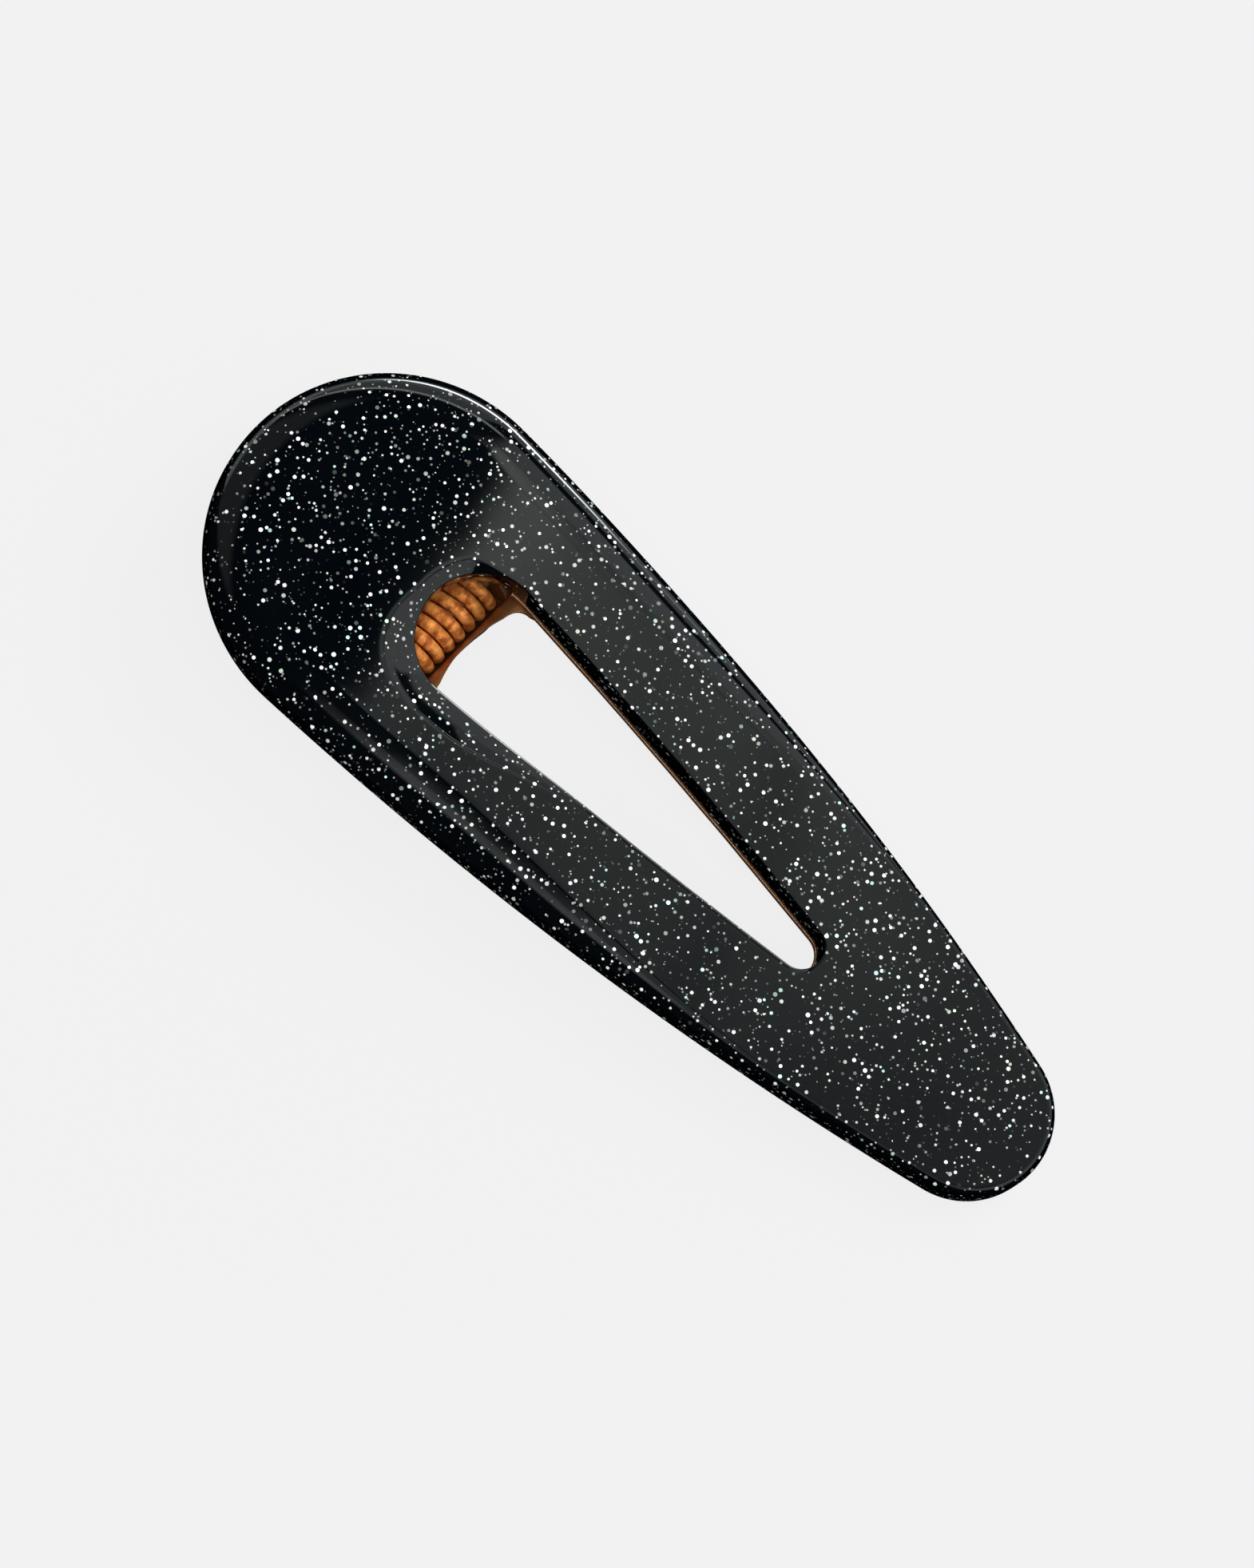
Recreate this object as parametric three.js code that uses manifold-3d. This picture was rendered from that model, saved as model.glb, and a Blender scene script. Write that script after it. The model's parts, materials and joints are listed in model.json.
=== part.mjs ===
// A teardrop hair clip: a glossy acetate plate glued on a stamped, sprung alligator clip.
// Millimetres. The clip is drawn in its own frame (x from the wide end to the tip, y across, z up from the
// plate's underside) and then laid down the way it lies on a table: on the pinch tab's end and the jaw's tip.
import * as THREE from "three";
import { mergeVertices } from "three/addons/utils/BufferGeometryUtils.js";
import Module from "manifold-3d";

const wasm = await Module();
wasm.setup();

// ---- driving dimensions -------------------------------------------------------------------------------------
const LENGTH = 70; // plate, from end to end
const WIDE_RADIUS = 12.4; // round wide end
const TIP_RADIUS = 5.65; // round tip
const SIDE_RADIUS = 260; // the long, slightly bulged sides
const PLATE_THICKNESS = 2.8;
const PLATE_EDGE = 0.5; // rounding of the plate's edges

const HOLE_START = 15.9; // the hole's wide end, from the plate's wide end
const HOLE_END = 50.5;
const HOLE_WIDE_RADIUS = 4.28;
const HOLE_TIP_RADIUS = 1.5;
const HOLE_SIDE_RADIUS = 500;

const SHEET = 0.5; // jaw's sheet metal
const FRAME_SHEET = 0.6; // upper frame's sheet metal
const GLUE = 0.1; // glue line under the plate
const SEAT_GAP = 0.05; // between the glue and each face that it bonds
const FRAME_INSET = 1.2; // upper frame, inside the plate's outline
const JAW_INSET = 2.4; // jaw, inside the plate's outline
const GLUE_INSET = 0.8; // glue line, inside the frame's edges
const RAIL_SETBACK = 0.7; // jaw's rails, back from the hole's edge

const PIN = new THREE.Vector2(17.2, -3.3); // hinge axis, x and z
const PIN_RADIUS = 0.75;
const PIN_CLEARANCE = 0.05;
const HEAD_RADIUS = 1.25;
const HEAD_HEIGHT = 0.55;

const WIRE = 0.86; // spring wire diameter
const COIL_RADIUS = 1.65; // to the wire's centre
const COIL_PITCH = 1.0;
const COIL_START = -3.73; // y of the first turn
const FULL_TURNS = 7; // and a half, so that both legs point back
const LEG_REACH = 9.4; // length of each leg
const UPPER_LEG_SLOPE = THREE.MathUtils.degToRad(2);
const TAB_SLOPE = THREE.MathUtils.degToRad(11.1); // the pinch tab and the leg that lies along it

const TROUGH_RADIUS = 2.45; // jaw's half-barrel round the spring, to the middle of the sheet
const WALL_TOP = -2.6; // where the barrel's front wall starts to bend forward
const BEND_RADIUS = 0.9;
const TAB_END = 1.4; // x of the pinch tab's end
const TAB_HALF_WIDTH = 5.2;
const TAB_NECK_END = 13.5; // where the tab has narrowed to the barrel's width
const WINGS_START = 20; // where the jaw widens again, clear of the frame's ears
const SHOULDER = 7; // length over which it widens
const JAW_TIP = new THREE.Vector2(66.8, -1.15);
const JAW_SAG = new THREE.Vector2(43.7, -2.45); // control point of the rails' gentle bow
const ROOT_X = 19.67; // middle of the slot's hollow root
const ROOT_RADIUS = 9.3;

const INNER_EAR = 4.4; // inside face of the jaw's ears
const OUTER_EAR = 5.0; // inside face of the frame's ears
const EAR_RADIUS = 2.3;
const WINDOW_START = 14.3; // window that the frame's ears are folded out of
const WINDOW_END = 19.5;

const ARC_STEPS = 10;

// ---- closed meshes, joined and cut --------------------------------------------------------------------------
function solid(geometry) {
  const bare = geometry.clone();
  bare.deleteAttribute("normal");
  bare.deleteAttribute("uv");
  const merged = mergeVertices(bare, 1e-5);
  const mesh = new wasm.Mesh({
    numProp: 3,
    vertProperties: new Float32Array(merged.attributes.position.array),
    triVerts: new Uint32Array(merged.index.array),
  });
  return new wasm.Manifold(mesh);
}

function geometryOf(manifold) {
  const mesh = manifold.getMesh();
  const geometry = new THREE.BufferGeometry();
  geometry.setAttribute("position", new THREE.BufferAttribute(new Float32Array(mesh.vertProperties), 3));
  geometry.setIndex(new THREE.BufferAttribute(new Uint32Array(mesh.triVerts), 1));
  geometry.computeVertexNormals();
  return geometry;
}

// A plan outline (x, y) raised from z = low to z = high.
function upright(shape, low, high) {
  const geometry = new THREE.ExtrudeGeometry(shape, {
    depth: high - low,
    bevelEnabled: false,
    curveSegments: ARC_STEPS,
  });
  return geometry.translate(0, 0, low);
}

// A side outline (x, z) drawn across from y = left to y = right.
function across(shape, left, right) {
  const geometry = new THREE.ExtrudeGeometry(shape, {
    depth: right - left,
    bevelEnabled: false,
    curveSegments: ARC_STEPS,
  });
  return geometry.rotateX(Math.PI / 2).translate(0, right, 0);
}

// ---- outlines -----------------------------------------------------------------------------------------------
// Two round ends joined by long arcs that are tangent to both, all grown outward by grow.
function teardrop(start, end, startRadius, endRadius, sideRadius, grow = 0) {
  const a = start + startRadius;
  const b = end - endRadius;
  const toA = sideRadius - startRadius;
  const toB = sideRadius - endRadius;
  const centreX = (toA ** 2 - toB ** 2 + b ** 2 - a ** 2) / (2 * (b - a));
  const centreY = Math.sqrt(toA ** 2 - (centreX - a) ** 2);
  const turnA = Math.atan2(centreY, a - centreX);
  const turnB = Math.atan2(centreY, b - centreX);
  const shape = new THREE.Shape();
  shape.absarc(a, 0, startRadius + grow, turnA, 2 * Math.PI - turnA, false);
  shape.absarc(centreX, centreY, sideRadius + grow, -turnA, -turnB, false);
  shape.absarc(b, 0, endRadius + grow, -turnB, turnB, false);
  shape.absarc(centreX, -centreY, sideRadius + grow, turnB, turnA, false);
  return shape;
}

const plateOutline = (grow = 0) => teardrop(0, LENGTH, WIDE_RADIUS, TIP_RADIUS, SIDE_RADIUS, grow);
const holeOutline = (grow = 0) =>
  teardrop(HOLE_START, HOLE_END, HOLE_WIDE_RADIUS, HOLE_TIP_RADIUS, HOLE_SIDE_RADIUS, grow);

function rectangle(x0, y0, x1, y1) {
  const shape = new THREE.Shape();
  shape.moveTo(x0, y0);
  shape.lineTo(x1, y0);
  shape.lineTo(x1, y1);
  shape.lineTo(x0, y1);
  shape.closePath();
  return shape;
}

function disc(centre, radius) {
  return new THREE.Shape().absarc(centre.x, centre.y, radius, 0, 2 * Math.PI, false);
}

// ---- the hinge's parts that both levers share ---------------------------------------------------------------
const pinHole = solid(across(disc(PIN, PIN_RADIUS + PIN_CLEARANCE), -WIDE_RADIUS, WIDE_RADIUS));

// One pair of ears: the same side outline on both sides of the clip, inside face at y = inner.
function ears(outline, inner, sheet) {
  const left = solid(across(outline, inner, inner + sheet));
  const right = solid(across(outline, -inner - sheet, -inner));
  return left.add(right);
}

// ---- acetate plate ------------------------------------------------------------------------------------------
function acetatePlate() {
  const shape = plateOutline();
  shape.holes.push(new THREE.Path(holeOutline().getPoints(ARC_STEPS)));
  const geometry = new THREE.ExtrudeGeometry(shape, {
    depth: PLATE_THICKNESS - 2 * PLATE_EDGE,
    bevelThickness: PLATE_EDGE,
    bevelSize: PLATE_EDGE,
    bevelOffset: -PLATE_EDGE,
    bevelSegments: 2,
    curveSegments: ARC_STEPS,
  });
  return geometry.translate(0, 0, PLATE_EDGE);
}

// ---- upper frame: a flat stamped ring with two ears folded down ---------------------------------------------
const FRAME_TOP = -(GLUE + 2 * SEAT_GAP);
const FRAME_BOTTOM = FRAME_TOP - FRAME_SHEET;

function springWindow(grow = 0) {
  return rectangle(WINDOW_START - grow, -OUTER_EAR - grow, WINDOW_END + grow, OUTER_EAR + grow);
}

function upperFrame() {
  const ring = solid(upright(plateOutline(-FRAME_INSET), FRAME_BOTTOM, FRAME_TOP));
  const hole = solid(upright(holeOutline(), FRAME_BOTTOM - 1, FRAME_TOP + 1));
  const window = solid(upright(springWindow(), FRAME_BOTTOM - 1, FRAME_TOP + 1));
  const ear = new THREE.Shape();
  ear.absarc(PIN.x, PIN.y, EAR_RADIUS, Math.PI, 2 * Math.PI, false);
  ear.lineTo(PIN.x + EAR_RADIUS, FRAME_TOP);
  ear.lineTo(PIN.x - EAR_RADIUS, FRAME_TOP);
  const body = ring.subtract(hole).subtract(window);
  return geometryOf(body.add(ears(ear, OUTER_EAR, SHEET)).subtract(pinHole));
}

// ---- glue line: a thin film between the plate and the frame -------------------------------------------------
function glueFilm() {
  const low = FRAME_TOP + SEAT_GAP;
  const high = low + GLUE;
  const film = solid(upright(plateOutline(-FRAME_INSET - GLUE_INSET), low, high));
  const hole = solid(upright(holeOutline(GLUE_INSET), low - 1, high + 1));
  const window = solid(upright(springWindow(GLUE_INSET), low - 1, high + 1));
  return geometryOf(film.subtract(hole).subtract(window));
}

// ---- lower jaw: pinch tab, half-barrel round the spring, two rails that meet at the tip ----------------------
// The sheet's side view: a middle line, thickened by half a sheet to each side.
function jawLine() {
  const tangent = -Math.PI / 2 + TAB_SLOPE;
  const tabTop = PIN.clone().add(new THREE.Vector2(Math.cos(tangent), Math.sin(tangent)).multiplyScalar(TROUGH_RADIUS));
  const tabLength = (tabTop.x - TAB_END) / Math.cos(TAB_SLOPE);
  const tabEnd = new THREE.Vector2(TAB_END, tabTop.y - tabLength * Math.sin(TAB_SLOPE));
  const bendStart = PIN.x + TROUGH_RADIUS;
  const line = new THREE.Path();
  line.moveTo(tabEnd.x, tabEnd.y);
  line.lineTo(tabTop.x, tabTop.y);
  line.absarc(PIN.x, PIN.y, TROUGH_RADIUS, tangent, 0, false);
  line.lineTo(bendStart, WALL_TOP);
  line.absarc(bendStart + BEND_RADIUS, WALL_TOP, BEND_RADIUS, Math.PI, Math.PI / 2, true);
  line.quadraticCurveTo(JAW_SAG.x, JAW_SAG.y, JAW_TIP.x, JAW_TIP.y);
  return line.getPoints(ARC_STEPS).filter((p, i, all) => i === 0 || p.distanceTo(all[i - 1]) > 1e-6);
}

function thickened(line, thickness) {
  const sideways = line.map((point, i) => {
    const before = line[Math.max(i - 1, 0)];
    const after = line[Math.min(i + 1, line.length - 1)];
    const along = after.clone().sub(before).normalize();
    return new THREE.Vector2(-along.y, along.x).multiplyScalar(thickness / 2);
  });
  const over = line.map((point, i) => point.clone().add(sideways[i]));
  const under = line.map((point, i) => point.clone().sub(sideways[i]));
  return new THREE.Shape([...under, ...over.reverse()]);
}

// Seen from above: a round-ended tab, a waist as wide as the barrel, and in front of its shoulders the plate's
// own outline.
function jawOutline() {
  const barrel = INNER_EAR + SHEET;
  const tab = new THREE.Shape();
  tab.absarc(TAB_END + TAB_HALF_WIDTH, 0, TAB_HALF_WIDTH, Math.PI / 2, (3 * Math.PI) / 2, false);
  tab.bezierCurveTo(TAB_NECK_END - 3, -TAB_HALF_WIDTH, TAB_NECK_END - 3, -barrel, TAB_NECK_END, -barrel);
  tab.lineTo(WINGS_START + 1, -barrel);
  tab.lineTo(WINGS_START + 1, barrel);
  tab.lineTo(TAB_NECK_END, barrel);
  tab.bezierCurveTo(TAB_NECK_END - 3, barrel, TAB_NECK_END - 3, TAB_HALF_WIDTH, TAB_END + TAB_HALF_WIDTH, TAB_HALF_WIDTH);
  const front = new THREE.Shape();
  front.moveTo(WINGS_START, -barrel);
  front.quadraticCurveTo(WINGS_START, -WIDE_RADIUS, WINGS_START + SHOULDER, -WIDE_RADIUS);
  front.lineTo(LENGTH, -WIDE_RADIUS);
  front.lineTo(LENGTH, WIDE_RADIUS);
  front.lineTo(WINGS_START + SHOULDER, WIDE_RADIUS);
  front.quadraticCurveTo(WINGS_START, WIDE_RADIUS, WINGS_START, barrel);
  const depth = 20;
  const body = solid(upright(plateOutline(-JAW_INSET), -depth, 0)).intersect(solid(upright(front, -depth, 0)));
  return body.add(solid(upright(tab, -depth, 0)));
}

// The slot between the rails: a shallow hollow root with rounded corners, then the hole's own taper.
function jawSlot() {
  const halfRoot = 3.1;
  const turn = Math.asin(halfRoot / ROOT_RADIUS);
  const cornerX = ROOT_X + 1.75;
  const cornerY = HOLE_WIDE_RADIUS + 0.1;
  const shape = new THREE.Shape();
  shape.absarc(ROOT_X + ROOT_RADIUS, 0, ROOT_RADIUS, Math.PI - turn, Math.PI + turn, false);
  shape.quadraticCurveTo(ROOT_X + 0.7, -cornerY, cornerX, -cornerY);
  shape.lineTo(cornerX + 3, -cornerY - 1);
  shape.lineTo(LENGTH, -cornerY - 1);
  shape.lineTo(LENGTH, cornerY + 1);
  shape.lineTo(cornerX + 3, cornerY + 1);
  shape.lineTo(cornerX, cornerY);
  const root = ROOT_X + ROOT_RADIUS - ROOT_RADIUS * Math.cos(turn);
  shape.quadraticCurveTo(ROOT_X + 0.7, cornerY, root, halfRoot);
  const opening = solid(upright(holeOutline(RAIL_SETBACK), -20, 1));
  return opening.intersect(solid(upright(shape, -20, 1)));
}

function lowerJaw() {
  const sheet = solid(across(thickened(jawLine(), SHEET), -WIDE_RADIUS, WIDE_RADIUS));
  const body = sheet.intersect(jawOutline()).subtract(jawSlot());
  return geometryOf(body.add(ears(disc(PIN, EAR_RADIUS), INNER_EAR, SHEET)).subtract(pinHole));
}

// ---- hinge pin: a plain pin with two peened heads -----------------------------------------------------------
function hingePin() {
  const seat = OUTER_EAR + SHEET + SEAT_GAP;
  const end = seat + HEAD_HEIGHT;
  const head = (side) => [
    new THREE.Vector2(HEAD_RADIUS, side * seat),
    new THREE.Vector2(HEAD_RADIUS, side * (seat + 0.2)),
    new THREE.Vector2(HEAD_RADIUS * 0.75, side * (seat + 0.45)),
    new THREE.Vector2(0, side * end),
  ];
  const shank = [new THREE.Vector2(PIN_RADIUS, -seat), new THREE.Vector2(PIN_RADIUS, seat)];
  const profile = [...head(-1).reverse(), ...shank, ...head(1)];
  return new THREE.LatheGeometry(profile, 32).translate(PIN.x, 0, PIN.y);
}

// ---- torsion spring: leg, coil, leg -------------------------------------------------------------------------
class SpringWire extends THREE.Curve {
  constructor() {
    super();
    this.from = Math.PI / 2 - UPPER_LEG_SLOPE;
    this.to = -Math.PI / 2 + TAB_SLOPE - 2 * Math.PI * FULL_TURNS;
    const turned = this.from - this.to;
    this.rise = (COIL_PITCH * turned) / (2 * Math.PI);
    this.coilLength = Math.hypot(turned * COIL_RADIUS, this.rise);
    this.arcLengthDivisions = 2000;
  }

  onCoil(share) {
    const angle = THREE.MathUtils.lerp(this.from, this.to, share);
    const x = PIN.x + COIL_RADIUS * Math.cos(angle);
    const z = PIN.y + COIL_RADIUS * Math.sin(angle);
    return new THREE.Vector3(x, COIL_START + share * this.rise, z);
  }

  getPoint(t) {
    const travelled = t * (this.coilLength + 2 * LEG_REACH);
    if (travelled < LEG_REACH) {
      const back = LEG_REACH - travelled;
      const offset = new THREE.Vector3(-Math.cos(UPPER_LEG_SLOPE), 0, Math.sin(UPPER_LEG_SLOPE));
      return this.onCoil(0).addScaledVector(offset, back);
    }
    if (travelled < LEG_REACH + this.coilLength) {
      return this.onCoil((travelled - LEG_REACH) / this.coilLength);
    }
    const beyond = travelled - LEG_REACH - this.coilLength;
    const offset = new THREE.Vector3(-Math.cos(TAB_SLOPE), 0, -Math.sin(TAB_SLOPE));
    return this.onCoil(1).addScaledVector(offset, beyond);
  }
}

function torsionSpring() {
  const section = new THREE.Shape();
  const sides = 8;
  for (let i = 0; i < sides; i += 1) {
    const angle = (2 * Math.PI * i) / sides;
    const x = (WIRE / 2) * Math.cos(angle);
    const y = (WIRE / 2) * Math.sin(angle);
    if (i === 0) section.moveTo(x, y);
    else section.lineTo(x, y);
  }
  return new THREE.ExtrudeGeometry(section, { extrudePath: new SpringWire(), steps: 170 });
}

// ---- assembly -----------------------------------------------------------------------------------------------
const acetate = { color: 0x0b0d10, roughness: 0.12, metalness: 0 };
const copperSheet = { color: 0xa0622a, roughness: 0.3, metalness: 1 };
const copperWire = { color: 0xa85f24, roughness: 0.28, metalness: 1 };
const clearGlue = { color: 0xd9d4c8, roughness: 0.4, metalness: 0 };

function piece(name, geometry, look) {
  const mesh = new THREE.Mesh(geometry, new THREE.MeshStandardMaterial(look));
  mesh.name = name;
  return mesh;
}

const clip = new THREE.Group();
clip.add(
  piece("acetate_plate", acetatePlate(), acetate),
  piece("glue_film", glueFilm(), clearGlue),
  piece("upper_frame", upperFrame(), copperSheet),
  piece("lower_jaw", lowerJaw(), copperSheet),
  piece("hinge_pin", hingePin(), copperSheet),
  piece("torsion_spring", torsionSpring(), copperWire),
);

// Lay the clip down: turn it until the pinch tab's end and the jaw's tip are level, then put the middle of its
// box at the origin and its lowest point on the ground.
const line = jawLine();
const rise = line.at(-1).clone().sub(line[0]);
clip.rotation.y = Math.atan2(rise.y, rise.x);

const part = new THREE.Group();
part.add(clip);
const box = new THREE.Box3().setFromObject(part, true);
const middle = box.getCenter(new THREE.Vector3());
part.position.set(-middle.x, -middle.y, -box.min.z);

export default part;
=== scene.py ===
"""Looks of the teardrop hair clip: a black glitter acetate plate on a copper-tone sprung clip.

Pieces are drawn in the clip's own frame, in millimetres: x from the wide end to the tip, y across, z up from
the plate's underside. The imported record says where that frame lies. The near side is the one at negative y.
"""
import json
import math

import bmesh
import bpy
from mathutils import Matrix, Vector


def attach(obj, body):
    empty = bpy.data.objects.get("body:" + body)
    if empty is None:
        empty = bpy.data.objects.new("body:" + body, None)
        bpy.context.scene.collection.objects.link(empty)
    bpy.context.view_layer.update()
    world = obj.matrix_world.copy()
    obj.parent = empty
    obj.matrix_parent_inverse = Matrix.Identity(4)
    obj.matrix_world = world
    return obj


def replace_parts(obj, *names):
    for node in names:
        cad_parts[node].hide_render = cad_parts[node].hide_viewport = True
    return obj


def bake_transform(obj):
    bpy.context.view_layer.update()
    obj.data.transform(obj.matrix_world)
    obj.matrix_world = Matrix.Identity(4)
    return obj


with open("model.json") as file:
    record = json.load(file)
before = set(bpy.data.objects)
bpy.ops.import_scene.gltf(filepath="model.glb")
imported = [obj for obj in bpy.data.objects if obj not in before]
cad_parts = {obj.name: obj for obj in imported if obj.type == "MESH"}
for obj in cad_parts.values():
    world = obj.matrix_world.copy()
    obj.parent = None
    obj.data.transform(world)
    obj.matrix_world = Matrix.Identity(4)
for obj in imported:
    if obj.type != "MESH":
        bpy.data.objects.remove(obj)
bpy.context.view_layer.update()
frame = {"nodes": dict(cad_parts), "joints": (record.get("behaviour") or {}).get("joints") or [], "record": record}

MM = 0.001

# ---- the clip's own frame, from the record ------------------------------------------------------------
PIN_X, PIN_Z = 17.2, -3.3  # the hinge axis runs across the clip here
PLATE_TOP = 2.8
PLATE_MIDDLE = (31.63, 0.0, 1.4)

hinge = next(j for j in frame["joints"] if j["name"] == "clip_hinge")
plate_top = next(m for m in frame["record"]["mounts"] if m["name"] == "plate_top")
NORMAL = Vector(plate_top["axis"]).normalized()
ACROSS = Vector((0, 1, 0))
ALONG = ACROSS.cross(NORMAL)
ORIGIN = Vector(hinge["pos_m"]) - ALONG * PIN_X * MM - NORMAL * PIN_Z * MM
TURN = Matrix((ALONG, ACROSS, NORMAL)).transposed().to_4x4()
CLIP = Matrix.Translation(ORIGIN) @ TURN @ Matrix.Scale(MM, 4)


def place(x, y, z):
    """A point of the clip's frame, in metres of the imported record's frame."""
    return CLIP @ Vector((x, y, z))


# ---- outlines -----------------------------------------------------------------------------------------
ARC_STEPS = {"start": 96, "side": 40, "end": 64}


def arc(cx, cy, radius, turn_from, turn_to, steps):
    """Points along an arc, without its last one, which the next arc starts with."""
    turns = [turn_from + (turn_to - turn_from) * i / steps for i in range(steps)]
    return [(cx + radius * math.cos(t), cy + radius * math.sin(t)) for t in turns]


def teardrop(start, end, start_radius, end_radius, side_radius, grow):
    """Two round ends, from x = start to x = end, joined by long arcs tangent to both, all grown by grow."""
    a, b = start + start_radius, end - end_radius
    to_a, to_b = side_radius - start_radius, side_radius - end_radius
    cx = (to_a**2 - to_b**2 + b**2 - a**2) / (2 * (b - a))
    cy = math.sqrt(to_a**2 - (cx - a) ** 2)
    turn_a, turn_b = math.atan2(cy, a - cx), math.atan2(cy, b - cx)
    side = side_radius + grow
    points = arc(a, 0, start_radius + grow, turn_a, 2 * math.pi - turn_a, ARC_STEPS["start"])
    points += arc(cx, cy, side, -turn_a, -turn_b, ARC_STEPS["side"])
    points += arc(b, 0, end_radius + grow, -turn_b, turn_b, ARC_STEPS["end"])
    points += arc(cx, -cy, side, turn_b, turn_a, ARC_STEPS["side"])
    return points


def plate_outline(grow):
    return teardrop(start=0, end=70, start_radius=12.4, end_radius=5.65, side_radius=260, grow=grow)


def hole_outline(grow):
    return teardrop(start=15.9, end=50.5, start_radius=4.28, end_radius=1.5, side_radius=500, grow=grow)


# ---- mesh helpers -------------------------------------------------------------------------------------
def add_object(name, data):
    made = bpy.data.objects.new(name, data)
    bpy.context.scene.collection.objects.link(made)
    return made


def new_piece(name, mesh, material):
    """A smooth-shaded object from a bmesh drawn in the clip's frame."""
    data = bpy.data.meshes.new(name)
    bmesh.ops.recalc_face_normals(mesh, faces=mesh.faces)
    mesh.to_mesh(data)
    mesh.free()
    data.transform(CLIP)
    data.shade_smooth()
    data.materials.append(material)
    return add_object(name, data)


def ring(mesh, points, z):
    return [mesh.verts.new((x, y, z)) for x, y in points]


def bridge(mesh, lower, upper):
    """Four-sided faces between two rings of as many vertices."""
    count = len(lower)
    for i in range(count):
        j = (i + 1) % count
        mesh.faces.new((lower[i], lower[j], upper[j], upper[i]))


EDGE_STEPS = 7  # to each arc of an edge


def rounded(arcs):
    """An edge's profile from the wall inward: pairs of inset from the wall and drop below the top."""
    inset, drop = 0.0, 0.0
    profile = [(inset, drop)]
    for radius, tilt_from, tilt_to in arcs:
        for i in range(1, EDGE_STEPS + 1):
            before = math.radians(tilt_from + (tilt_to - tilt_from) * (i - 1) / EDGE_STEPS)
            after = math.radians(tilt_from + (tilt_to - tilt_from) * i / EDGE_STEPS)
            inset += radius * (math.sin(before) - math.sin(after))
            drop += radius * (math.cos(after) - math.cos(before))
            profile.append((inset, drop))
    return [(d, drop - h) for d, h in profile]


# ---- acetate plate ------------------------------------------------------------------------------------
# Each edge is a run of arcs from the wall inward: radius, then the surface's tilt where it starts and ends.
OUTER_ROUND = [(0.9, 90, 40)]
OUTER_SLOPE = [(3.1, 40, 27), (5.0, 27, 14), (6.6, 14, 3), (6.0, 3, 0)]
HOLE_ROUND = [(0.14, 90, 29)]
HOLE_BEVEL = [(24.0, 29, 25), (8.4, 25, 20), (0.7, 20, 0)]
UNDER_EDGE = [(0.35, 90, 0)]
FLAT_MARGIN = 0.25  # a strip of true flat inside each edge


def smoothstep(value, low, high):
    t = min(max((value - low) / (high - low), 0.0), 1.0)
    return t * t * (3 - 2 * t)


def shoulder_share(x, facing_y):
    """The plate's soft shoulder is widest round the wide end and narrows towards the tip."""
    return 1 - 0.9 * smoothstep(x, 24, 56)


def hole_bevel_share(x, facing_y):
    """The hand-cut bevel is widest on the hole's near side and fades towards the tip and the far side."""
    turned = smoothstep(facing_y, -1, -0.6) * (0.38 + 0.62 * smoothstep(facing_y, 0, 0.9))
    return turned * (1 - 0.9 * smoothstep(x, 22, 34))


def plate_side(mesh, outline, inward, wall_edge, slope, share):
    """Rings of one wall of the plate, from its underside's edge up to the flat of its top.

    The wall's own edge is the same all round. The slope above it is scaled at each place by share, which is
    given the place's x and how far the wall there faces +y, from -1 to 1.
    """
    here, inside = outline(0), outline(inward)
    edge, fall = rounded(wall_edge), rounded(slope)
    width, depth = edge[-1][0], fall[0][1]
    profile = [(inset, 0.0, drop, depth) for inset, drop in edge]
    profile += [(width, inset, 0.0, drop) for inset, drop in fall[1:]]
    profile.append((width + FLAT_MARGIN, fall[-1][0], 0.0, 0.0))

    rings = [ring(mesh, outline(inward * inset), drop) for inset, drop in reversed(rounded(UNDER_EDGE))]
    for inset, shared_inset, drop, shared_drop in profile:
        verts = []
        for (x, y), (inner_x, inner_y) in zip(here, inside):
            part = share(x, y - inner_y)
            reach = inset + shared_inset * part
            z = PLATE_TOP - drop - shared_drop * part
            verts.append(mesh.verts.new((x + (inner_x - x) * reach, y + (inner_y - y) * reach, z)))
        rings.append(verts)
    for lower, upper in zip(rings, rings[1:]):
        bridge(mesh, lower, upper)
    return rings[0], rings[-1]


def acetate_plate(material):
    mesh = bmesh.new()
    outer_low, outer_high = plate_side(mesh, plate_outline, -1, OUTER_ROUND, OUTER_SLOPE, shoulder_share)
    hole_low, hole_high = plate_side(mesh, hole_outline, 1, HOLE_ROUND, HOLE_BEVEL, hole_bevel_share)
    bridge(mesh, outer_low, hole_low)
    bridge(mesh, outer_high, hole_high)
    return new_piece("glitter_plate", mesh, material)


# ---- metal --------------------------------------------------------------------------------------------
WELD_DISTANCE = 0.002  # corners closer than this become one
FLAT_ANGLE = math.radians(0.6)  # faces that meet at less than this become one
SHARP_ANGLE = math.radians(35)  # edges sharper than this are broken


def stamped(name, node, edge_width, face, edge):
    """The CAD node's own shape, with its sharp sheet edges broken; the bevels take the edge material, a pale
    painted highlight.
    """
    mesh = bmesh.new()
    mesh.from_mesh(frame["nodes"][node].data)
    bmesh.ops.remove_doubles(mesh, verts=mesh.verts, dist=WELD_DISTANCE * MM)
    bmesh.ops.dissolve_limit(mesh, angle_limit=FLAT_ANGLE, verts=mesh.verts, edges=mesh.edges)
    sharp = [e for e in mesh.edges if len(e.link_faces) == 2 and e.calc_face_angle() > SHARP_ANGLE]
    for flat in mesh.faces:
        flat.material_index = 0
    bmesh.ops.bevel(
        mesh,
        geom=sharp,
        offset=edge_width * MM,
        segments=2,
        profile=0.6,
        affect="EDGES",
        clamp_overlap=True,
        material=1,
    )
    bmesh.ops.triangulate(mesh, faces=[f for f in mesh.faces if len(f.verts) > 4])
    mesh.transform(CLIP.inverted())
    piece = new_piece(name, mesh, face)
    piece.data.materials.append(edge)
    sharpen(piece)
    return piece


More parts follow.
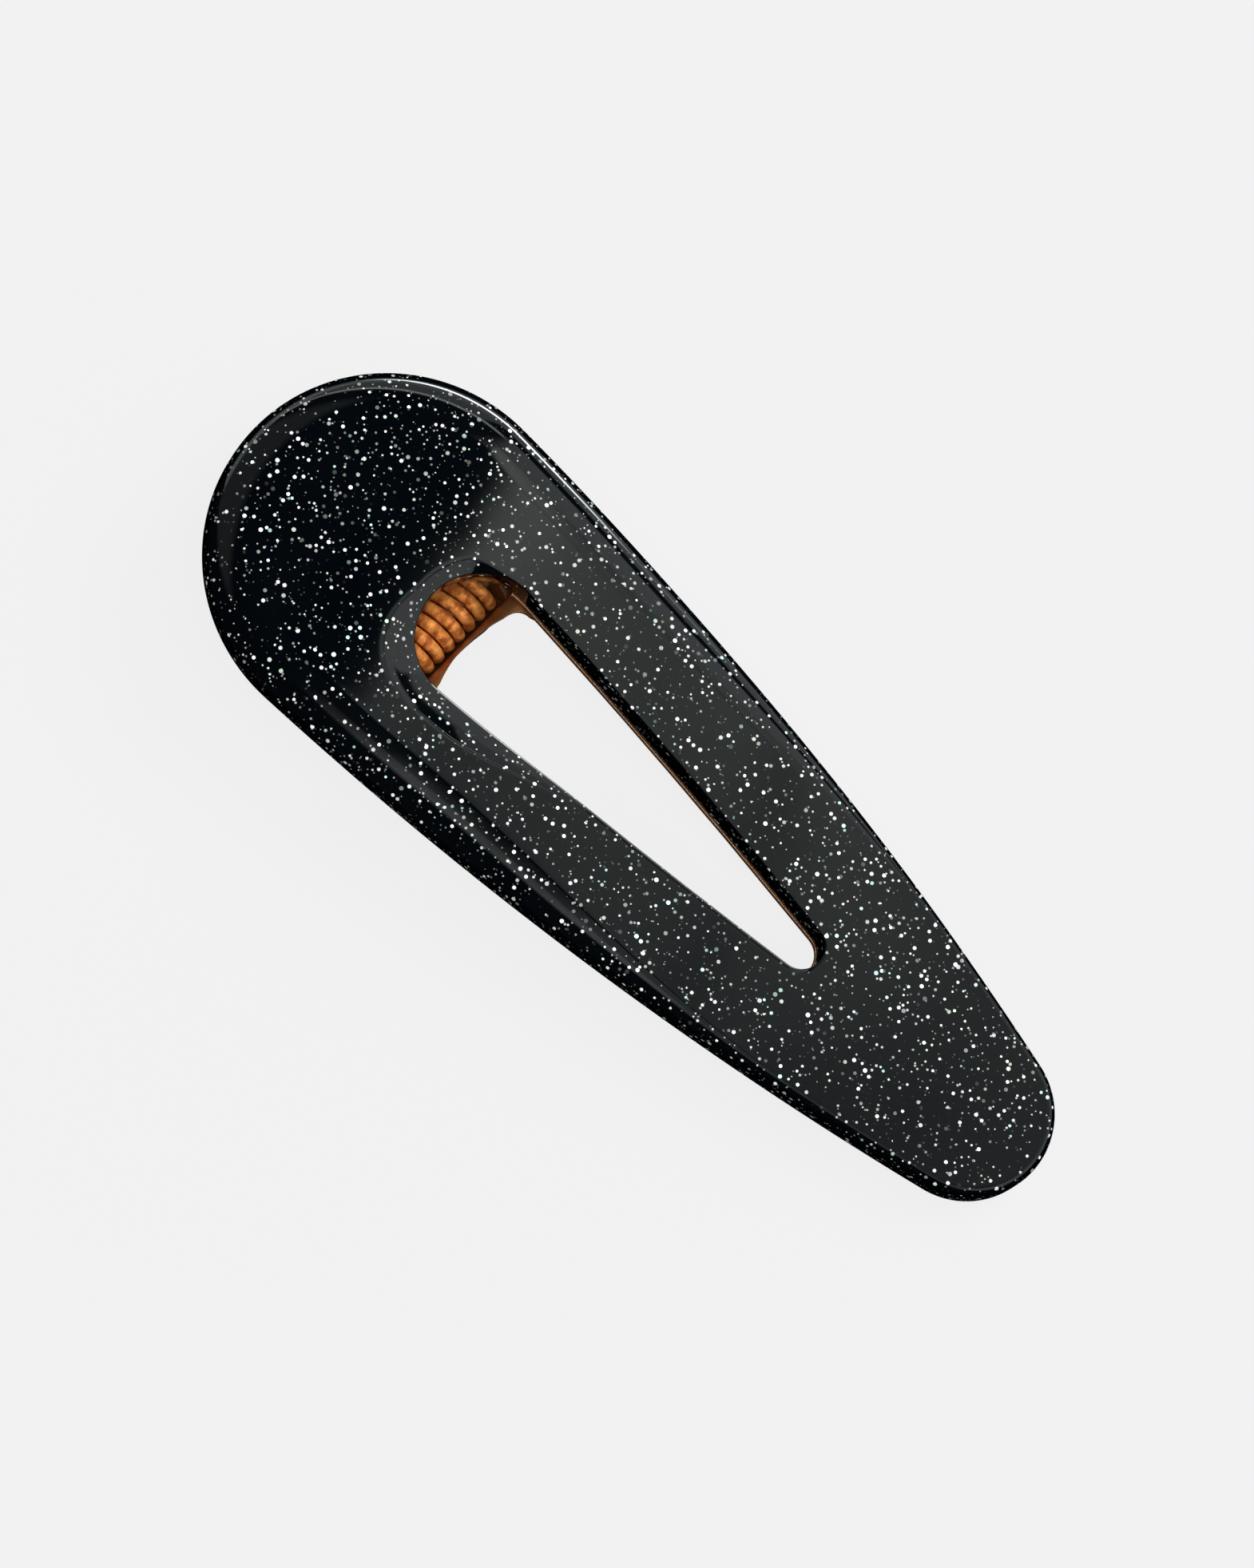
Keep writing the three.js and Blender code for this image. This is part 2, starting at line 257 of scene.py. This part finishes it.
def sharpen(piece):
    """Flat sheet faces stay flat: normals weighted by face area."""
    weighted = piece.modifiers.new("normals", "WEIGHTED_NORMAL")
    weighted.weight = 90
    weighted.keep_sharp = True


PIN_RADIUS = 0.75
PIN_STEPS = 64
# Half of the pin as (radius, distance from the clip's middle): the shank's end, then the peened head's dome.
HEAD_PROFILE = [
    (PIN_RADIUS, 5.55),
    (1.17, 5.55),
    (1.25, 5.58),
    (1.25, 5.72),
    (1.2, 5.84),
    (1.05, 5.96),
    (0.8, 6.05),
    (0.45, 6.09),
    (0.0, 6.1),
]


def hinge_pin(material):
    """A plain pin with two domed, peened heads, turned about the hinge axis."""
    profile = [(r, -y) for r, y in reversed(HEAD_PROFILE)] + HEAD_PROFILE
    turns = [2 * math.pi * i / PIN_STEPS for i in range(PIN_STEPS)]
    mesh = bmesh.new()
    rings = []
    for radius, y in profile:
        if radius == 0:
            rings.append([mesh.verts.new((PIN_X, y, PIN_Z))])
            continue
        places = [(PIN_X + radius * math.cos(t), y, PIN_Z + radius * math.sin(t)) for t in turns]
        rings.append([mesh.verts.new(spot) for spot in places])
    for lower, upper in zip(rings, rings[1:]):
        if len(lower) == 1 or len(upper) == 1:
            tip, rim = (lower[0], upper) if len(lower) == 1 else (upper[0], lower)
            for i in range(PIN_STEPS):
                mesh.faces.new((tip, rim[i], rim[(i + 1) % PIN_STEPS]))
        else:
            bridge(mesh, lower, upper)
    return new_piece("pin", mesh, material)


# ---- torsion spring -----------------------------------------------------------------------------------
WIRE_RADIUS = 0.43
WIRE_SIDES = 20
CUT_END_LENGTH, CUT_END_INSET = 0.06, 0.07  # the broken edge of a cut end
COIL_RADIUS = 1.65  # of the wire's middle line
COIL_PITCH = 1.0
COIL_START = -3.73
FULL_TURNS = 7
TURN_STEPS = 48
LEG_REACH = 9.4
LEG_STEPS = 12
UPPER_LEG_SLOPE = math.radians(2)
LOWER_LEG_SLOPE = math.radians(11.1)


def spring_line():
    """The wire's middle line: a leg along the upper frame, the coil, and a leg along the pinch tab."""
    turn_from = math.pi / 2 - UPPER_LEG_SLOPE
    turn_to = -math.pi / 2 + LOWER_LEG_SLOPE - 2 * math.pi * FULL_TURNS
    turned = turn_from - turn_to
    steps = TURN_STEPS * (FULL_TURNS + 1)
    coil = []
    for i in range(steps + 1):
        turn = turn_from - turned * i / steps
        y = COIL_START + COIL_PITCH * turned * i / steps / (2 * math.pi)
        coil.append(Vector((PIN_X + COIL_RADIUS * math.cos(turn), y, PIN_Z + COIL_RADIUS * math.sin(turn))))
    upper = Vector((-math.cos(UPPER_LEG_SLOPE), 0, math.sin(UPPER_LEG_SLOPE)))
    lower = Vector((-math.cos(LOWER_LEG_SLOPE), 0, -math.sin(LOWER_LEG_SLOPE)))
    reach = [LEG_REACH * i / LEG_STEPS for i in range(LEG_STEPS, 0, -1)]
    return [coil[0] + upper * r for r in reach] + coil + [coil[-1] + lower * r for r in reversed(reach)]


def torsion_spring(material):
    """A round wire swept along its line, with its two ends cut square and slightly broken."""
    line = spring_line()
    mesh = bmesh.new()
    frames = []
    right = Vector((0, 1, 0))
    for i, point in enumerate(line):
        ahead = line[min(i + 1, len(line) - 1)] - line[max(i - 1, 0)]
        ahead.normalize()
        right = (right - ahead * right.dot(ahead)).normalized()
        frames.append((point, ahead, right, ahead.cross(right)))
    rings = [wire_ring(mesh, point, right, up, WIRE_RADIUS) for point, _, right, up in frames]
    for lower, upper in zip(rings, rings[1:]):
        bridge(mesh, lower, upper)
    for (point, ahead, right, up), rim, sign in ((frames[0], rings[0], -1), (frames[-1], rings[-1], 1)):
        cut = wire_ring(mesh, point + ahead * sign * CUT_END_LENGTH, right, up, WIRE_RADIUS - CUT_END_INSET)
        bridge(mesh, rim, cut)
        mesh.faces.new(cut)
    return new_piece("spring_wire", mesh, material)


def wire_ring(mesh, point, right, up, radius):
    turns = [2 * math.pi * i / WIRE_SIDES for i in range(WIRE_SIDES)]
    return [mesh.verts.new(point + right * radius * math.cos(t) + up * radius * math.sin(t)) for t in turns]


# ---- materials ----------------------------------------------------------------------------------------
class Nodes:
    """A node tree, with short calls for the nodes used here."""

    def __init__(self, tree):
        self.tree = tree
        tree.nodes.clear()

    def add(self, kind, **settings):
        made = self.tree.nodes.new(kind)
        for key, value in settings.items():
            setattr(made, key, value)
        return made

    def feed(self, socket, value):
        if isinstance(value, bpy.types.NodeSocket):
            self.tree.links.new(value, socket)
        else:
            socket.default_value = value

    def math(self, operation, *values, clamp=False):
        made = self.add("ShaderNodeMath", operation=operation, use_clamp=clamp)
        for socket, value in zip(made.inputs, values):
            self.feed(socket, value)
        return made.outputs["Value"]

    def vector(self, operation, *values, output="Vector"):
        made = self.add("ShaderNodeVectorMath", operation=operation)
        for socket, value in zip(made.inputs, values):
            self.feed(socket, value)
        return made.outputs[output]

    def mix(self, share, a, b):
        made = self.add("ShaderNodeMix", data_type="RGBA")
        for name, value in (("Factor", share), ("A", a), ("B", b)):
            socket = next(i for i in made.inputs if i.name == name and i.enabled)
            self.feed(socket, value)
        return next(o for o in made.outputs if o.enabled)

    def ramp(self, value, low, high, out_low=0.0, out_high=1.0):
        made = self.add("ShaderNodeMapRange", interpolation_type="SMOOTHSTEP")
        for name, fed in (
            ("Value", value),
            ("From Min", low),
            ("From Max", high),
            ("To Min", out_low),
            ("To Max", out_high),
        ):
            self.feed(made.inputs[name], fed)
        return made.outputs["Result"]

    def between(self, value, low, high, soft):
        """1 between low and high, falling to 0 over soft on each side."""
        rise = self.ramp(value, low - soft, low + soft)
        fall = self.ramp(value, high - soft, high + soft, 1.0, 0.0)
        return self.math("MULTIPLY", rise, fall)


class Finish(Nodes):
    """A material with a principled surface; mm is the place on the piece in millimetres."""

    def __init__(self, name):
        self.material = bpy.data.materials.new(name)
        self.material.use_nodes = True
        super().__init__(self.material.node_tree)
        self.shader = self.add("ShaderNodeBsdfPrincipled")
        output = self.add("ShaderNodeOutputMaterial")
        self.feed(output.inputs["Surface"], self.shader.outputs["BSDF"])
        place_of = self.add("ShaderNodeTexCoord").outputs["Object"]
        self.mm = self.vector("MULTIPLY", place_of, (1 / MM,) * 3)

    def set(self, **values):
        for name, value in values.items():
            self.feed(self.shader.inputs[name.replace("_", " ")], value)

    def noise(self, scale, detail=2.0, stretch=(1, 1, 1)):
        made = self.add("ShaderNodeTexNoise")
        self.feed(made.inputs["Vector"], self.vector("MULTIPLY", self.mm, stretch))
        self.feed(made.inputs["Scale"], scale)
        self.feed(made.inputs["Detail"], detail)
        return made.outputs["Fac"]

    def bump(self, height, distance, strength=1.0):
        made = self.add("ShaderNodeBump")
        self.feed(made.inputs["Height"], height)
        self.feed(made.inputs["Distance"], distance)
        self.feed(made.inputs["Strength"], strength)
        return made.outputs["Normal"]


# Sizes of glitter, in millimetres: the cell that holds one flake, a usual flake's radius, the brightness of
# the best flake and how fast the others fall off from it, and a shift that sets the sizes' patterns apart.
# The brightness is a painted glint: each flake's sparkle is put into its colour at random.
FLAKES = [
    {"cell": 0.36, "radius": 0.08, "best": 0.6, "falloff": 1.8, "shift": 31.0},
    {"cell": 0.52, "radius": 0.135, "best": 1.0, "falloff": 1.0, "shift": 7.0},
]
FLAKE_EDGE = 0.03  # how softly a flake ends
# the colour of a flake that has no painted glint
FLAKE_DARK = (0.004, 0.005, 0.006, 1)
FLAKE_TINT = (1.0, 0.8, 0.78, 1)  # turned round the colour wheel from flake to flake


def flake_layer(nodes, cell, radius, best, falloff, shift):
    """One size of glitter: how much of the spot a flake covers, its colour with a painted glint of random
    strength, and a random lean.
    """
    cells = nodes.add("ShaderNodeTexVoronoi", feature="F1")
    nodes.feed(cells.inputs["Vector"], nodes.vector("ADD", nodes.mm, (shift, 1.7 * shift, 0.6 * shift)))
    nodes.feed(cells.inputs["Scale"], 1 / cell)
    split = nodes.add("ShaderNodeSeparateColor")
    nodes.feed(split.inputs["Color"], cells.outputs["Color"])
    size = nodes.math("MULTIPLY_ADD", split.outputs["Green"], 0.7 * radius / cell, 0.5 * radius / cell)
    edge = nodes.math("SUBTRACT", size, cells.outputs["Distance"])
    cover = nodes.math("MULTIPLY", edge, cell / FLAKE_EDGE, clamp=True)
    # painted glint: the flake's brightness, drawn at random, stands in for the light it sparkles with
    level = nodes.math("MULTIPLY", nodes.math("POWER", split.outputs["Red"], falloff), best)
    tinted = nodes.add("ShaderNodeHueSaturation")
    nodes.feed(tinted.inputs["Color"], FLAKE_TINT)
    nodes.feed(tinted.inputs["Hue"], split.outputs["Blue"])
    nodes.feed(tinted.inputs["Saturation"], nodes.ramp(split.outputs["Blue"], 0.5, 1.0, 0.2, 1.4))
    colour = nodes.mix(level, FLAKE_DARK, tinted.outputs["Color"])
    return cover, colour, cells.outputs["Color"]


def glitter_acetate():
    """Black acetate, a little uneven in depth, with flakes that lean at random under a clear, wavy coat."""
    nodes = Finish("glitter_acetate")
    depth = nodes.ramp(nodes.noise(0.12, 2), 0.35, 0.65)
    colour = nodes.mix(depth, (0.0002, 0.0007, 0.0013, 1), (0.0006, 0.0011, 0.0017, 1))
    covered, lean = 0.0, (0.5, 0.5, 0.5, 1)
    for flakes in FLAKES:
        cover, flake_colour, flake_lean = flake_layer(nodes, **flakes)
        colour = nodes.mix(cover, colour, flake_colour)
        lean = nodes.mix(cover, lean, flake_lean)
        covered = nodes.math("MAXIMUM", covered, cover)
    leaning = nodes.vector("MULTIPLY", nodes.vector("SUBTRACT", lean, (0.5, 0.5, 0.5)), (0.8, 0.8, 0.8))
    facing = nodes.add("ShaderNodeNewGeometry").outputs["Normal"]
    nodes.set(
        Base_Color=colour,
        Metallic=nodes.math("MULTIPLY", covered, 0.3),
        Roughness=nodes.math("MULTIPLY_ADD", covered, -0.35, 0.75),
        Normal=nodes.vector("NORMALIZE", nodes.vector("ADD", facing, leaning)),
        Specular_IOR_Level=0.0,
        Coat_Weight=1.0,
        Coat_Roughness=0.05,
        Coat_IOR=1.5,
        Coat_Normal=nodes.bump(nodes.noise(0.16, 1), 0.012 * MM),
    )
    return nodes.material


def copper_tone(name, bright, toned, roughness, grain=(1, 1, 1), metal=0.8, bands=(1, 1, 1)):
    """Copper-tone plating, deeper where it has toned, with fine lines left by drawing or brushing.

    The lines and the toned patches are stretched along the axes where grain and bands are small.
    """
    nodes = Finish(name)
    tone = nodes.ramp(nodes.noise(1.1, 5, stretch=bands), 0.35, 0.65)
    lines = nodes.noise(6.0, 3, stretch=grain)
    polish = nodes.math("MULTIPLY_ADD", lines, 0.16, roughness - 0.08)
    nodes.set(
        Base_Color=nodes.mix(tone, bright, toned),
        Roughness=nodes.math("MULTIPLY_ADD", tone, 0.06, polish),
        Metallic=metal,
        Normal=nodes.bump(lines, 0.01 * MM, 0.6),
    )
    return nodes.material


def clear_glue():
    """Set glue, a little cloudy and uneven in its shine."""
    nodes = Finish("clear_glue")
    cloud = nodes.noise(0.8, 3)
    nodes.set(
        Base_Color=nodes.mix(cloud, (0.55, 0.5, 0.4, 1), (0.72, 0.69, 0.6, 1)),
        Roughness=nodes.ramp(cloud, 0.3, 0.7, 0.25, 0.45),
    )
    return nodes.material


# ---- studio -------------------------------------------------------------------------------------------
CAMERA_DISTANCE = 600.0  # millimetres, from the middle of the plate
CAMERA_LEAN = math.radians(14.6)  # off the plate's normal, towards its near side
CAMERA_ROLL = math.radians(44.0)  # the clip's long axis below the picture's horizontal
PICTURE_HEIGHT = 102.0  # millimetres of the plate's plane that fit the picture's height
SENSOR_WIDTH = 36.0  # fitted to the picture's longer side, its height
CLIP_NEAR, CLIP_FAR = 0.01, 50.0  # metres
AIM_RIGHT, AIM_DOWN = 1.38, 1.32  # the picture's middle, from the plate's middle, in millimetres


def look(obj, eye, target, up):
    """Stands obj at eye, with its -z towards target and its y as near up as it can be."""
    back = (eye - target).normalized()
    right = up.cross(back).normalized()
    turned = Matrix((right, back.cross(right), back)).transposed()
    obj.matrix_world = Matrix.Translation(eye) @ turned.to_4x4()


def camera():
    """A camera that looks down on the plate, with the clip's long axis aslant in the picture."""
    towards = NORMAL * math.cos(CAMERA_LEAN) - ACROSS * math.sin(CAMERA_LEAN)
    across_seen = towards.cross(ALONG)
    up = across_seen * math.cos(CAMERA_ROLL) - ALONG * math.sin(CAMERA_ROLL)
    target = place(*PLATE_MIDDLE) + (up.cross(towards) * AIM_RIGHT - up * AIM_DOWN) * MM
    data = bpy.data.cameras.new("camera")
    data.sensor_width = SENSOR_WIDTH
    data.lens = SENSOR_WIDTH * CAMERA_DISTANCE / PICTURE_HEIGHT
    data.clip_start, data.clip_end = CLIP_NEAR, CLIP_FAR
    made = add_object("camera", data)
    look(made, target + towards * CAMERA_DISTANCE * MM, target, up)
    bpy.context.scene.camera = made


def direction(across, along):
    """A direction so many degrees off the plate's normal, towards +y and towards +x of the clip's frame."""
    sideways = ACROSS * math.tan(math.radians(across)) + ALONG * math.tan(math.radians(along))
    return (NORMAL + sideways).normalized()


# The softboxes round the clip, as patches of sky: degrees off the plate's normal towards +y and +x, the
# width of their soft edges each way, and brightness. Where two overlap, the brighter one shows.
PANELS = [
    {"across": (26, 57), "along": (-3, 75), "soft": (1.5, 3), "glow": 1.0},
    {"across": (65, 88), "along": (-80, 80), "soft": (1.5, 1.5), "glow": 0.85},
    {"across": (75.5, 80.5), "along": (-72, 4), "soft": (1, 6), "glow": 24},
    {"across": (50.5, 53.5), "along": (-75, -5), "soft": (1, 3), "glow": 3},
    {"across": (50, 68), "along": (-80, -14), "soft": (1.5, 1.5), "glow": 0.6},
    {"across": (-24, -11), "along": (0.2, 4.2), "soft": (2, 1.2), "glow": 1.05},
    {"across": (-26, 6), "along": (0.3, 40), "soft": (2, 0.6), "glow": 0.5},
    {"across": (-20, 74), "along": (-78, -68), "soft": (2, 2), "glow": 1.3},
    {"across": (-30, 36), "along": (-70, -28), "soft": (6, 6), "glow": 0.22},
    {"across": (-30, 88), "along": (26, 75), "soft": (3, 3), "glow": 1.0},
]
SKY_COLOUR = (0.95, 1.0, 0.99, 1)
SKY_GLOW = 0.02  # between the panels


def studio_world():
    """Dark all round but for the panels."""
    world = bpy.data.worlds.new("studio")
    bpy.context.scene.world = world
    world.use_nodes = True
    nodes = Nodes(world.node_tree)
    ray = nodes.add("ShaderNodeTexCoord").outputs["Generated"]
    out = nodes.vector("DOT_PRODUCT", ray, NORMAL, output="Value")
    angles = {}
    for name, axis in (("across", ACROSS), ("along", ALONG)):
        sideways = nodes.vector("DOT_PRODUCT", ray, axis, output="Value")
        angles[name] = nodes.math("DEGREES", nodes.math("ARCTAN2", sideways, out))
    light = nodes.ramp(out, -0.02, 0.1, 0.0, SKY_GLOW)
    for panel in PANELS:
        across = nodes.between(angles["across"], *panel["across"], panel["soft"][0])
        along = nodes.between(angles["along"], *panel["along"], panel["soft"][1])
        patch = nodes.math("MULTIPLY", nodes.math("MULTIPLY", across, along), panel["glow"])
        light = nodes.math("MAXIMUM", light, patch)
    background = nodes.add("ShaderNodeBackground")
    nodes.feed(background.inputs["Color"], SKY_COLOUR)
    nodes.feed(background.inputs["Strength"], light)
    output = nodes.add("ShaderNodeOutputWorld")
    nodes.feed(output.inputs["Surface"], background.outputs["Background"])


CARD_DISTANCE = 200.0
CARD_X = (-30, 130)  # its reach from the middle of the mirrored face, in millimetres
CARD_Y = (-46, 84)
CARD_COLOUR = (0.95, 1.0, 0.96, 1)


def card_light():
    """The softbox's own light: uneven, with a ragged end over the wide end and a fade on the near side."""
    material = bpy.data.materials.new("face_card")
    material.use_nodes = True
    nodes = Nodes(material.node_tree)
    place_of = nodes.vector("MULTIPLY", nodes.add("ShaderNodeTexCoord").outputs["Object"], (1 / MM,) * 3)
    split = nodes.add("ShaderNodeSeparateXYZ")
    nodes.feed(split.inputs["Vector"], place_of)
    x, y = split.outputs["X"], split.outputs["Y"]
    cloud = nodes.add("ShaderNodeTexNoise")
    nodes.feed(cloud.inputs["Vector"], place_of)
    nodes.feed(cloud.inputs["Scale"], 0.06)
    slanted = nodes.math("MULTIPLY_ADD", y, 0.34, x)
    ragged = nodes.math("MULTIPLY_ADD", cloud.outputs["Fac"], 9.0, -4.5)
    edge = nodes.math("ADD", nodes.math("MULTIPLY_ADD", y, 0.1, x), ragged)
    glow = nodes.ramp(x, -22, -12, 1.4, 0.86)  # brightest by its ragged end
    for fade in (
        nodes.ramp(x, 8, 44, 1.0, 0.6),  # dimmer over the tip
        nodes.ramp(y, -14, 12, 0.55, 1.0),  # dimmer on the near side
        nodes.math("MULTIPLY_ADD", nodes.between(slanted, 12, 17, 4), -0.3, 1.0),  # a slanted dip
        nodes.ramp(cloud.outputs["Fac"], 0.3, 0.7, 0.88, 1.1),  # a little cloudy
        nodes.ramp(edge, -23.5, -20.0),  # the ragged end
        nodes.ramp(y, -41, -31),  # the near side's end
    ):
        glow = nodes.math("MULTIPLY", glow, fade)
    shine = nodes.add("ShaderNodeEmission")
    nodes.feed(shine.inputs["Color"], CARD_COLOUR)
    nodes.feed(shine.inputs["Strength"], glow)
    output = nodes.add("ShaderNodeOutputMaterial")
    nodes.feed(output.inputs["Surface"], shine.outputs["Emission"])
    return material


def studio_object(name, mesh, material):
    """A thing of the studio, from a bmesh in metres."""
    data = bpy.data.meshes.new(name)
    mesh.to_mesh(data)
    mesh.free()
    data.materials.append(material)
    return add_object(name, data)


def flat_sheet(name, low, high, z, material):
    """A level rectangle between two corners."""
    mesh = bmesh.new()
    corners = [(low[0], low[1]), (high[0], low[1]), (high[0], high[1]), (low[0], high[1])]
    mesh.faces.new(ring(mesh, corners, z))
    return studio_object(name, mesh, material)


def face_card():
    """The near softbox that the plate's flat face mirrors to the camera."""
    low, high = (CARD_X[0] * MM, CARD_Y[0] * MM), (CARD_X[1] * MM, CARD_Y[1] * MM)
    card = flat_sheet("face_card", low, high, 0, card_light())
    mirrored = direction(math.degrees(CAMERA_LEAN), 0)
    turned = Matrix((ALONG, mirrored.cross(ALONG), mirrored)).transposed()
    middle = place(*PLATE_MIDDLE) + mirrored * CARD_DISTANCE * MM
    card.matrix_world = Matrix.Translation(middle) @ turned.to_4x4()
    card.visible_camera = False
    card.visible_diffuse = False
    card.visible_shadow = False


KEY_DISTANCE = 700.0
KEY_SIZE = 400.0
KEY_WATTS = 4.8


def key_light(name, towards):
    """A large square softbox that lights the clip but isn't mirrored in it."""
    data = bpy.data.lights.new(name, "AREA")
    data.shape = "RECTANGLE"
    data.size, data.size_y = KEY_SIZE * MM, KEY_SIZE * MM
    data.energy = KEY_WATTS
    made = add_object(name, data)
    middle = place(*PLATE_MIDDLE)
    look(made, middle + towards * KEY_DISTANCE * MM, middle, NORMAL)
    made.visible_glossy = False


FLOOR_REACH = 3.0  # metres
FLOOR_GLOW = 0.827
FLOOR_ALBEDO = 0.03
FLOOR_GAP = 0.05  # millimetres below the clip


def floor():
    """A pale floor with a light of its own, so that the clip hardly shades it."""
    nodes = Finish("floor")
    nodes.set(
        Base_Color=(FLOOR_ALBEDO, FLOOR_ALBEDO, FLOOR_ALBEDO, 1),
        Roughness=1.0,
        Specular_IOR_Level=0.0,
        Emission_Color=(1, 1, 1, 1),
        Emission_Strength=FLOOR_GLOW,
    )
    low, high = (-FLOOR_REACH, -FLOOR_REACH), (FLOOR_REACH, FLOOR_REACH)
    made = flat_sheet("floor", low, high, -FLOOR_GAP * MM, nodes.material)
    made.visible_glossy = False


BACKDROP_RADIUS = 2.9  # metres
BACKDROP_GLOW = 0.86


def backdrop():
    """A pale dome round the floor that only the camera sees, so that a low view shows no bare studio."""
    mesh = bmesh.new()
    bmesh.ops.create_uvsphere(mesh, u_segments=64, v_segments=32, radius=BACKDROP_RADIUS)
    nodes = Finish("backdrop")
    nodes.set(
        Base_Color=(0, 0, 0, 1),
        Specular_IOR_Level=0.0,
        Emission_Color=(1, 1, 1, 1),
        Emission_Strength=BACKDROP_GLOW,
    )
    made = studio_object("backdrop", mesh, nodes.material)
    made.visible_diffuse = False
    made.visible_glossy = False
    made.visible_transmission = False
    made.visible_shadow = False


# ---- build --------------------------------------------------------------------------------------------
bpy.context.scene.view_settings.view_transform = "Standard"
camera()
studio_world()
floor()
backdrop()
face_card()
key_light("key_near", direction(across=-12, along=4))
key_light("key_far", direction(across=32, along=10))

glitter = glitter_acetate()
# The sheets' copper is darker than the wire's and pin's: painted shade, for the web that lies in shade beside the
# spring.
sheet = copper_tone(
    "copper_sheet",
    bright=(0.46, 0.19, 0.068, 1),
    toned=(0.31, 0.115, 0.038, 1),
    roughness=0.42,
    grain=(0.15, 1, 1),
    bands=(0.12, 0.3, 0.3),
)
# Pale cream on the sheets' broken edges: a painted highlight for the light the edges catch.
edge_highlight = copper_tone(
    "copper_edge_highlight",
    bright=(0.97, 0.8, 0.62, 1),
    toned=(0.9, 0.62, 0.4, 1),
    roughness=0.34,
    metal=0.6,
)
wire = copper_tone(
    "copper_wire",
    bright=(0.86, 0.33, 0.08, 1),
    toned=(0.36, 0.09, 0.016, 1),
    roughness=0.46,
    grain=(1, 0.3, 1),
    metal=0.55,
    bands=(2.0, 1.0, 1.6),
)
pin_metal = copper_tone(
    "copper_pin",
    bright=(0.86, 0.45, 0.2, 1),
    toned=(0.6, 0.27, 0.1, 1),
    roughness=0.32,
)

plate = acetate_plate(glitter)
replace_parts(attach(plate, "upper_lever"), "acetate_plate")

upper = stamped("upper_sheet", "upper_frame", edge_width=0.12, face=sheet, edge=edge_highlight)
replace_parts(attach(upper, "upper_lever"), "upper_frame")

jaw = stamped("jaw_sheet", "lower_jaw", edge_width=0.08, face=sheet, edge=edge_highlight)
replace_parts(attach(jaw, "lower_lever"), "lower_jaw")

pin = hinge_pin(pin_metal)
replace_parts(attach(pin, "upper_lever"), "hinge_pin")

spring = torsion_spring(wire)
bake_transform(spring)
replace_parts(spring, "torsion_spring")

glue = frame["nodes"]["glue_film"]
glue.data.materials.clear()
glue.data.materials.append(clear_glue())
